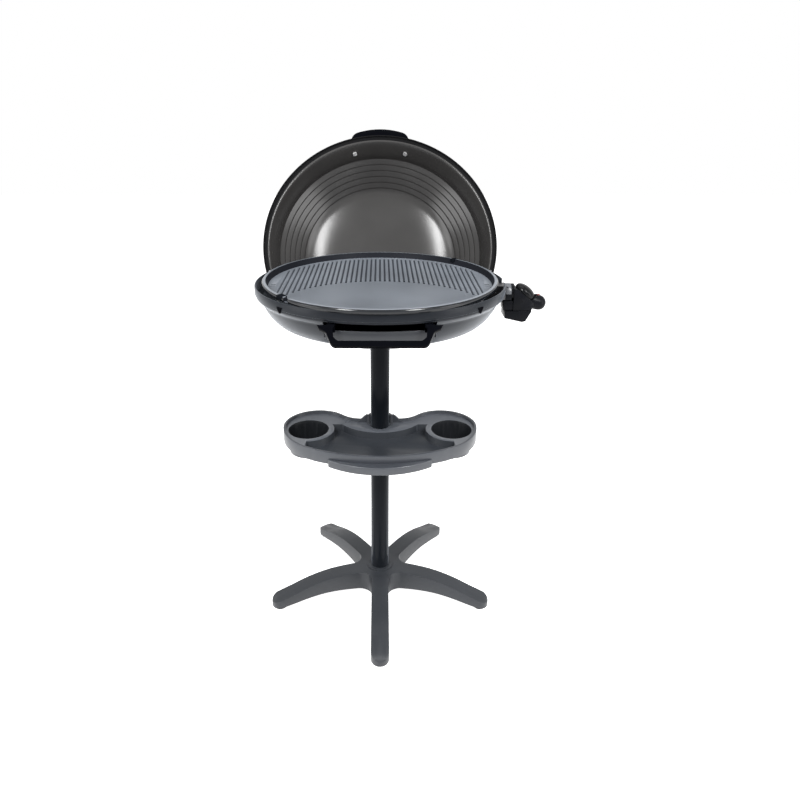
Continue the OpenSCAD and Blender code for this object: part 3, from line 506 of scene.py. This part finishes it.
# Painted shade: a darker copy of the coating for the groove floors, and a near-black one for the rim's inner
# wall.
groove_painted_shade = moulded("groove_painted_shade", (0.045, 0.050, 0.060), 0.5, grain=1600, depth=0.00002, ior=1.25)
rim_shadow = moulded("rim_shadow", (0.010, 0.011, 0.014), 0.4, grain=1600, shine=0.2, ior=1.15)
for finish in (rim_gloss_and_shade, groove_painted_shade, rim_shadow):
    cooking_plate.data.materials.append(finish)
rim_outside, groove_shade, rim_inside = 1, 2, 3
skirt_r, field_r, rim_r = 0.2575, 0.245, 0.240
floor_low, floor_high, rim_low = 0.820, 0.8222, 0.8235
# Picks the faces for the skirt's painted reflection and for the painted shade in the grooves and on the
# rim's inner wall.
for face in cooking_plate.data.polygons:
    out = math.hypot(face.center.x, face.center.y)
    lowest = min(cooking_plate.data.vertices[v].co.z for v in face.vertices)
    if out > skirt_r and abs(face.normal.z) < 0.75:
        face.material_index = rim_outside
    elif out < field_r and floor_low < face.center.z < floor_high:
        face.material_index = groove_shade
    elif out > rim_r and lowest > rim_low and abs(face.normal.z) < 0.9:
        face.material_index = rim_inside
cook_z = 0.825
groove_pitch = 0.0108
grooves_a_side = 20
groove_r = 0.244
smooth_y, smooth_r = 0.006, 0.225
end_inset = 0.004
dot_r, dot_draft, dot_h, dot_z = 0.0027, 0.0002, 0.0012, cook_z - 0.0003
mark_x, mark_y = 0.2345, -0.027
mark_size = (0.011, 0.0028, dot_h, 1)
# Painted shadow: near-black discs at the front ends of the grooves, and two near-black drain dashes.
dots = bmesh.new()
for count in range(-grooves_a_side, grooves_a_side + 1):
    x = count * groove_pitch
    y = max(smooth_y - smooth_r + math.sqrt(max(0, smooth_r ** 2 - x ** 2)),
            -math.sqrt(groove_r ** 2 - x ** 2) + end_inset)
    bmesh.ops.create_cone(dots, cap_ends=True, segments=20, radius1=dot_r, radius2=dot_r - dot_draft,
                          depth=dot_h, matrix=Matrix.Translation((x, y, dot_z)))
for side in (-1, 1):
    mark_place = Matrix.Translation((side * mark_x, mark_y, dot_z)) @ Matrix.Diagonal(mark_size)
    bmesh.ops.create_cube(dots, size=1, matrix=mark_place)
# Painted shadow colour, with no reflection, for the groove ends, the drain dashes and the notch blocks.
painted_hole_shade = moulded("painted_hole_shade", (0.006, 0.007, 0.009), 0.9, shine=0.0, ior=1.02)
made("groove_end_shadows", dots, painted_hole_shade, "plate")
# Painted shadow: near-black blocks sit in the two notches of the rim, where the gaps are in shade.
shade_block_from, shade_block_to = 0.2465, 0.2605
shade_block_low, shade_block_high = 0.8300, 0.8386
for word, turned, wide in (("front", 219, 0.020), ("back", 44, 0.011)):
    shade_block = rounded_box((shade_block_from, -wide / 2, shade_block_low), (shade_block_to, wide / 2, shade_block_high), 0.0008)
    bmesh.ops.transform(shade_block, matrix=Matrix.Rotation(math.radians(turned), 4, "Z"), verts=shade_block.verts)
    made("notch_shade_block_" + word, shade_block, painted_hole_shade, "plate")

# The heating element: a dark oxidised steel sheath clamped under the plate. It ends in
# two bright pins inside a dark steel shroud, where the controller plugs on.
sheath = moulded("element_sheath", (0.09, 0.09, 0.095), 0.5, metal=0.8)
finish_with(sheath, "heating_element")
bright_steel = moulded("bright_steel", (0.68, 0.69, 0.71), 0.22, grain=300, metal=1.0)
finish_with(bright_steel, "terminal_pins")
dark_steel = moulded("dark_steel", (0.09, 0.09, 0.095), 0.4, grain=400, metal=1.0)
finish_with(dark_steel, "terminal_shroud")

# The controller: a plug-in thermostat with a collar, a sloping grip, a box below and a
# temperature knob on top, all in dark plastic. Its collar is a lighter grey.
controller_plastic = moulded("controller_plastic", (0.005, 0.0055, 0.007), 0.28, shine=0.06)
rounded("controller_housing", "controller_body", "controller", controller_plastic,
        0.0015, 2)
rounded("controller_box", "controller_case", "controller", controller_plastic, 0.002, 3)
finish_with(pad_rubber, "cord_inlet")
finish_with(bright_steel, "controller_probe")
collar_x, collar_z = 0.2785, 0.802
collar_r, collar_length, collar_edge = 0.0193, 0.0155, 0.003
collar_plastic = moulded("collar_plastic", (0.085, 0.090, 0.100), 0.35)
collar_place = Matrix.Translation((collar_x, 0, collar_z)) @ Matrix.Rotation(math.radians(90), 4, "Y")
collar = rod(collar_place, collar_r, collar_length, collar_edge)
made("controller_collar", collar, collar_plastic, "controller")
latch_low, latch_high = (0.2792, -0.0203, 0.788), (0.2925, -0.010, 0.801)
latch = rounded_box(latch_low, latch_high, 0.001)
made("collar_latch", latch, controller_plastic, "controller")
neck_low, neck_high = (0.2755, -0.020, 0.7625), (0.3000, 0.020, 0.786)
neck = rounded_box(neck_low, neck_high, 0.002)
made("controller_neck", neck, controller_plastic, "controller")
lamp_lens = moulded("lamp_lens", (0.12, 0.015, 0.01), 0.12, depth=0.0, coat=0.5)
finish_with(lamp_lens, "indicator_lamp")
knob_gloss = moulded("knob_gloss", (0.003, 0.0033, 0.004), 0.2, grain=500, depth=0.00008, shine=0.3, ior=1.3)
rounded("control_knob", "knob", "knob", knob_gloss, 0.0008, 2)

# The lid: one pressing of aluminium with a stepped dome, a flat flange and a turned-down
# lip, coated inside and out in a dark taupe lacquer. Its flange is darker, painted as painted
# shade, and its back is cut off along a wider circle.
lid_lacquer = moulded("lid_lacquer", (0.027, 0.026, 0.0255), 0.22, grain=1800, depth=0.00001, shine=0.42)
lid_t = 0.0025
lid_centre_y, lid_seat_z = 0.010, 0.824
lip_line = [(0.293, 0.0), (0.293, 0.0045), (0.2924, 0.0060), (0.2915, 0.0069), (0.2900, 0.0075),
            (0.2822, 0.0075)]
flange_top = 0.0076
wall_foot, wall_foot_h = 0.2800, 0.0078
wall_steps, wall_curve = 10, 1.6
ring_r0, ring_h0 = 0.262, 0.0623
ring_r1, ring_h1 = 0.192, 0.1300
ring_count = 6
riser_run, riser_rise = 0.10, 0.27
crown_h = 0.1523
crown_steps, crown_curve = 16, 4
back_r = 0.330
back_y = -0.068

lid_wall = []
for i in range(wall_steps + 1):
    t = i / wall_steps
    lid_wall.append((wall_foot + (ring_r0 - wall_foot) * (1 - (1 - t) ** wall_curve),
                     wall_foot_h + (ring_h0 - wall_foot_h) * t))
lid_rings = []
for i in range(ring_count):
    for run, rise in ((riser_run, riser_rise), (1, 1)):
        lid_rings.append((ring_r0 - (ring_r0 - ring_r1) * (i + run) / ring_count,
                          ring_h0 + (ring_h1 - ring_h0) * (i + rise) / ring_count))
lid_crown = []
for i in range(1, crown_steps + 1):
    out = 1 - i / crown_steps
    lid_crown.append((ring_r1 * out, ring_h1 + (crown_h - ring_h1) * (1 - out ** crown_curve)))
lid_sides = 180
lid_form = spun(lip_line + lid_wall + lid_rings + lid_crown, lid_sides)
step_angle, step_radius = math.radians(16), 0.0014
lid_steps = [e for e in lid_form.edges if e.is_manifold and e.calc_face_angle() > step_angle]
soften(lid_form, lid_steps, step_radius)
for v in lid_form.verts:
    flat = Vector((v.co.x, v.co.y))
    if (flat - Vector((0, back_y))).length > back_r:
        along = flat.normalized()
        reach = along.y * back_y
        v.co.xy = along * (reach + math.sqrt(reach ** 2 + back_r ** 2 - back_y ** 2))
lid_place = (Matrix.Translation((0, hinge_y, hinge_z)) @ Matrix.Rotation(-lid_open, 4, "X")
             @ Matrix.Translation((0, lid_centre_y - hinge_y, lid_seat_z - hinge_z)))
bmesh.ops.transform(lid_form, matrix=lid_place, verts=lid_form.verts)
bmesh.ops.recalc_face_normals(lid_form, faces=lid_form.faces)
lid_dome = made("lid_dome", lid_form, lid_lacquer, "lid", 50)
wall = lid_dome.modifiers.new("wall", "SOLIDIFY")
wall.use_even_offset = False
wall.thickness = lid_t
wall.offset = -1
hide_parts("lid_shell")
# Painted shade: a near-black copy of the lacquer on the flange, standing for the dark reflection it shows.
flange_painted_shade = moulded("flange_painted_shade", (0.006, 0.006, 0.0065), 0.3, grain=1400, depth=0.00001, shine=0.1, ior=1.25)
lid_dome.data.materials.append(flange_painted_shade)
flange_shade = 1
to_lid = lid_place.inverted()
for face in lid_dome.data.polygons:
    if (to_lid @ face.center).z < flange_top:
        face.material_index = flange_shade
rounded("lid_handle", "lid_grip", "lid", black_gloss, 0.004, 3)
chrome = moulded("chrome", (0.95, 0.95, 0.96), 0.5, depth=0.0, metal=1.0)
finish_with(chrome, "lid_handle_screws")
finish_with(dark_steel, "hinge_arm_left", "hinge_arm_right", "hinge_rivets")
